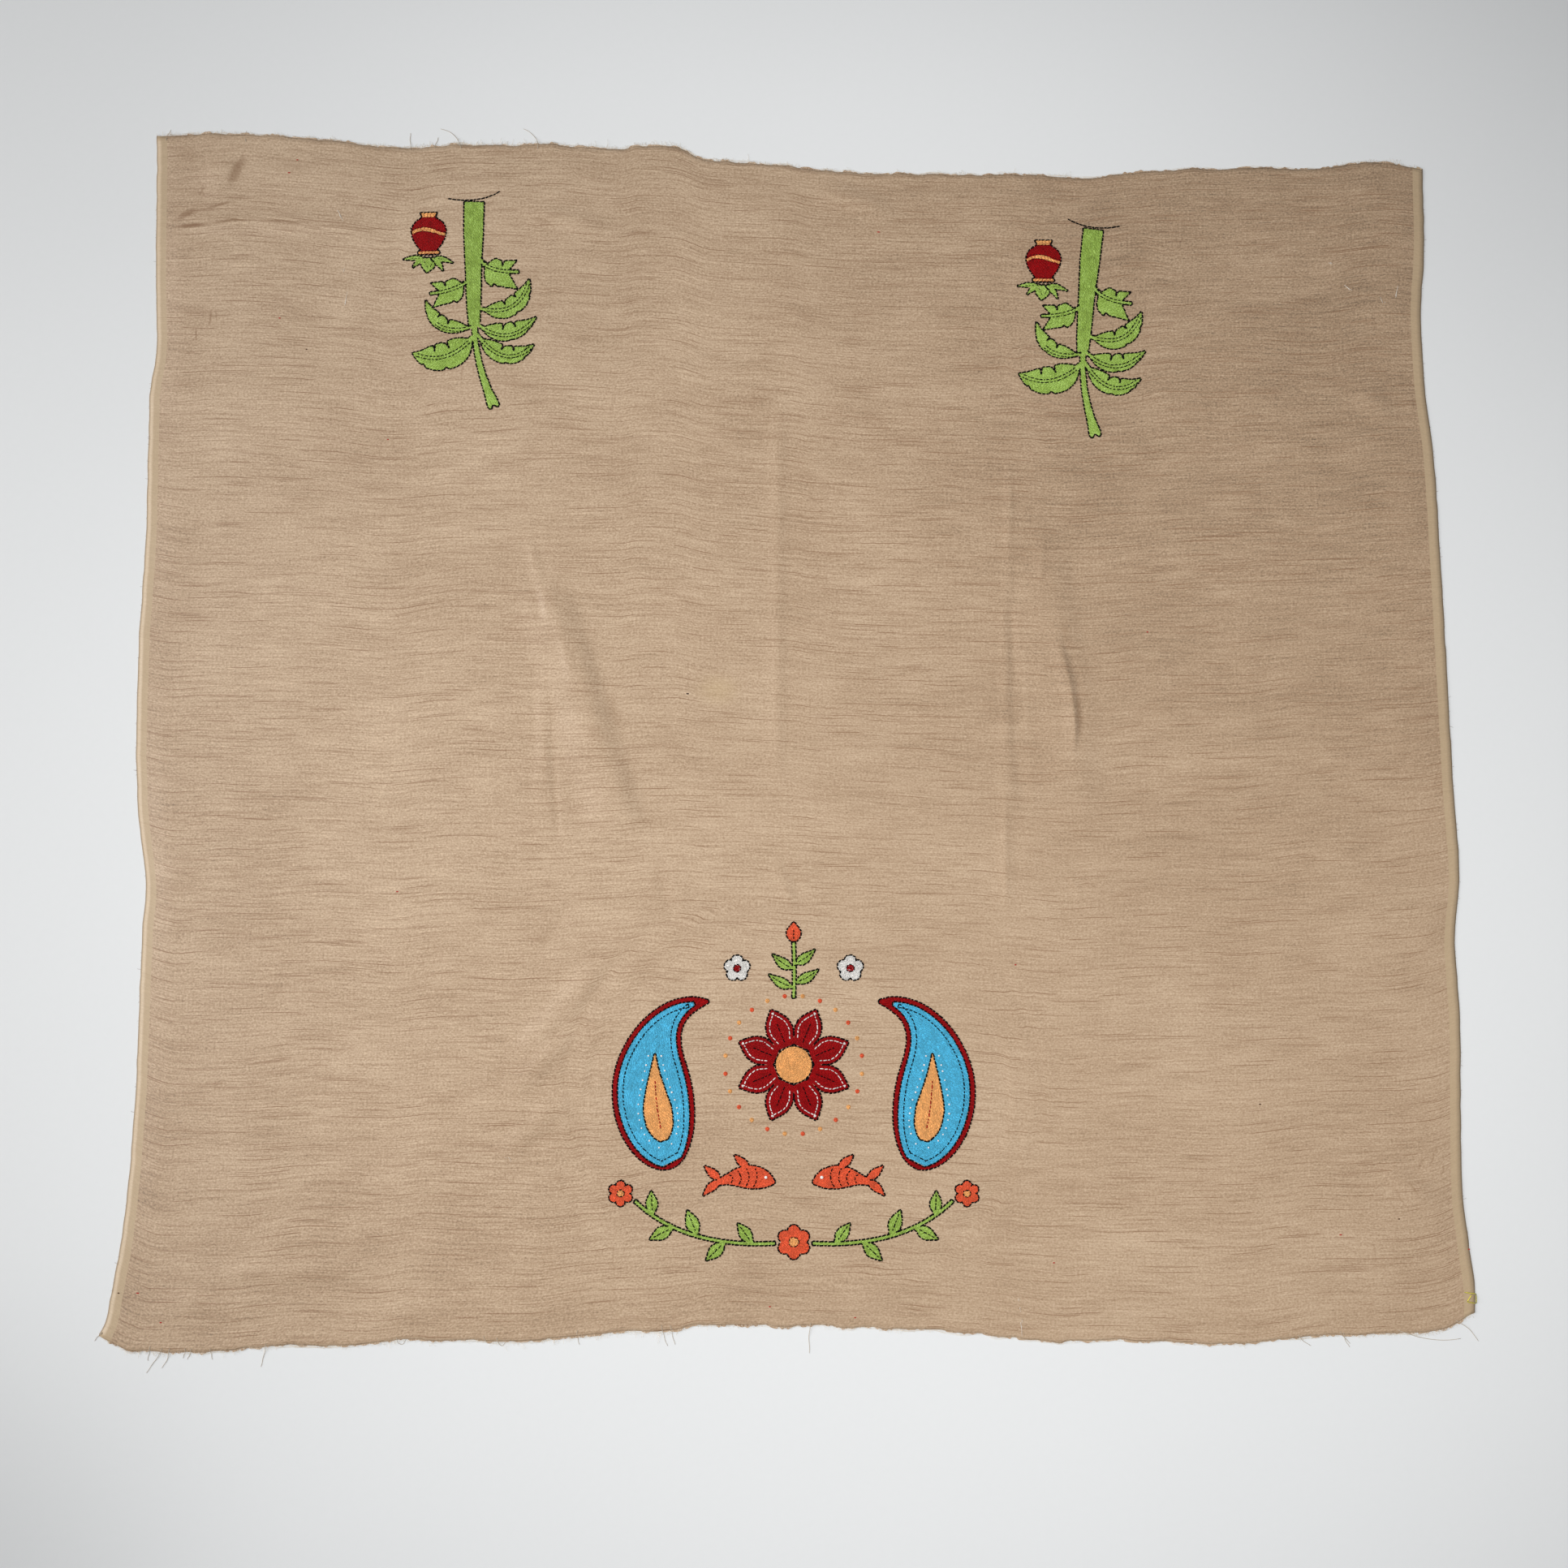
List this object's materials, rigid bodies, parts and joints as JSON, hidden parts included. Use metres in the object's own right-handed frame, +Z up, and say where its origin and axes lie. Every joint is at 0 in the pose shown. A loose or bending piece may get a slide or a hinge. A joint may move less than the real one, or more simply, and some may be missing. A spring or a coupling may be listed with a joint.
{
  "type": "kantha embroidered fabric",
  "caption": "Flat cut length of beige slub silk with stitched plants, pots, paisleys, a lotus, fish and a leafy garland, lying in low folds.",
  "frame": {"origin": "on the surface, under the middle of the sheet as it lies", "axes": "+Z up from the surface, +Y towards the end with the two plants, +X from selvage to selvage"},
  "size_m": [1.1459, 1.054, 0.0052],
  "materials": {
    "silk": "undyed slub silk, soft sheen",
    "green_thread": "dense running stitch",
    "blue_thread": "dense running stitch",
    "red_thread": "dense running stitch",
    "orange_thread": "dense running stitch",
    "yellow_thread": "dense running stitch",
    "white_thread": "dense running stitch",
    "black_thread": "running stitch"
  },
  "bodies": {
    "root": {"cloth": "silk", "plant_left": "green_thread", "plant_right": "green_thread", "ground_line_left": "black_thread", "ground_line_right": "black_thread", "pot_left": "red_thread", "pot_right": "red_thread", "pot_leaves_left": "green_thread", "pot_leaves_right": "green_thread", "lotus_petals": "red_thread", "lotus_heart": "yellow_thread", "paisley_border_left": "red_thread", "paisley_border_right": "red_thread", "paisley_left": "blue_thread", "paisley_right": "blue_thread", "paisley_heart_left": "yellow_thread", "paisley_heart_right": "yellow_thread", "garland_left": "green_thread", "garland_right": "green_thread", "flower_middle": "orange_thread", "flower_left": "orange_thread", "flower_right": "orange_thread", "fish_left": "orange_thread", "fish_right": "orange_thread", "sprig": "green_thread", "sprig_bud": "orange_thread", "blossom_left": "white_thread", "blossom_right": "white_thread"}
  },
  "joints": []
}
